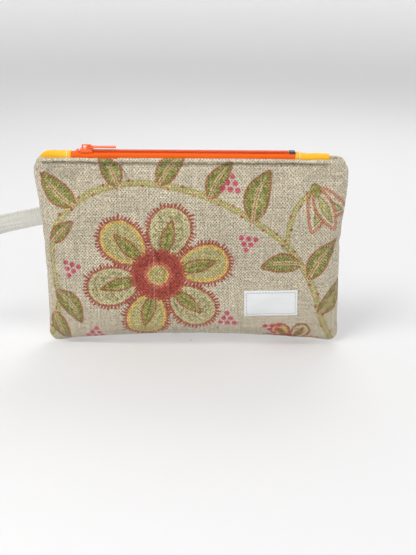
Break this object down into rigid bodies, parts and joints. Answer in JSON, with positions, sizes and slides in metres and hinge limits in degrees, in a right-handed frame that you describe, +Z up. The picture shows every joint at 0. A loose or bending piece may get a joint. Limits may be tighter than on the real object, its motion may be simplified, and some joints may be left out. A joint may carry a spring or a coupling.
{
  "type": "zippered pouch",
  "caption": "Flat padded fabric zip pouch, about hand size, with printed linen-look panels, folded zipper end tabs, a sewn-on label and a wrist strap.",
  "frame": {"origin": "middle of the bottom seam, where the standing pouch rests on a ledge", "axes": "+Z up from the bottom seam to the zipper, +X along the zipper from the strap side to the plain side, front panel with the label facing -Y"},
  "size_m": [0.3425, 0.032, 0.1464],
  "materials": {
    "printed_linen": "slubby linen-look woven furnishing cloth, matte, printed with large flowers in brick red, olive and gold",
    "fleece": "fusible polyester fleece",
    "lining_cotton": "plain-weave quilting cotton, matte",
    "zipper_tape": "woven polyester tape, slight sheen",
    "zipper_coil": "coiled nylon monofilament, satin",
    "zipper_stop": "crimped metal, dull",
    "slider_paint": "enamel on die-cast zinc, satin",
    "tab_cotton": "plain-weave quilting cotton, matte",
    "white_thread": "polyester sewing thread",
    "linen_thread": "polyester sewing thread",
    "strap_cotton": "folded and pressed plain cotton, matte",
    "label_cloth": "smooth coated label tape, blank",
    "label_thread": "polyester sewing thread"
  },
  "bodies": {
    "pouch_back": {"back_outer": "printed_linen", "back_fleece": "fleece", "back_lining": "lining_cotton", "back_zipper_tape": "zipper_tape", "back_coil": "zipper_coil", "back_top_stop": "zipper_stop", "bottom_stop": "zipper_stop", "back_topstitching": "linen_thread", "left_zipper_tab": "tab_cotton", "right_zipper_tab": "tab_cotton", "left_tab_stitching": "white_thread", "right_tab_stitching": "white_thread", "strap_anchor": "strap_cotton", "lining_closing_stitches": "linen_thread"},
    "pouch_front": {"front_outer": "printed_linen", "front_fleece": "fleece", "front_lining": "lining_cotton", "front_zipper_tape": "zipper_tape", "front_coil": "zipper_coil", "front_top_stop": "zipper_stop", "front_topstitching": "linen_thread", "label": "label_cloth", "label_stitching": "label_thread"},
    "slider": {"slider_body": "slider_paint"},
    "pull": {"pull_tab": "slider_paint"},
    "strap": {"wrist_strap": "strap_cotton"}
  },
  "joints": [
    {"name": "zip_slide", "type": "slide", "parent": "pouch_back", "child": "slider", "axis": [1, 0, 0], "range_m": [0, 0.131]},
    {"name": "mouth_open", "type": "hinge", "parent": "pouch_back", "child": "pouch_front", "pos_m": [0, 0, 0], "axis": [1, 0, 0], "range_deg": [0, 12], "deforming": ["front_zipper_tape", "back_zipper_tape", "front_coil", "back_coil", "left_zipper_tab", "right_zipper_tab", "left_tab_stitching", "right_tab_stitching"]},
    {"name": "pull_swing", "type": "hinge", "parent": "slider", "child": "pull", "pos_m": [-0.071, 0, 0.14475], "axis": [0, -1, 0], "range_deg": [0, 175]},
    {"name": "strap_swing", "type": "hinge", "parent": "pouch_back", "child": "strap", "pos_m": [-0.10978, 0, 0.093], "axis": [0, 0, 1], "range_deg": [-90, 90]}
  ],
  "couplings": [
    {"joint": "mouth_open", "follows": "zip_slide", "rad_per_m": 1.5983}
  ]
}
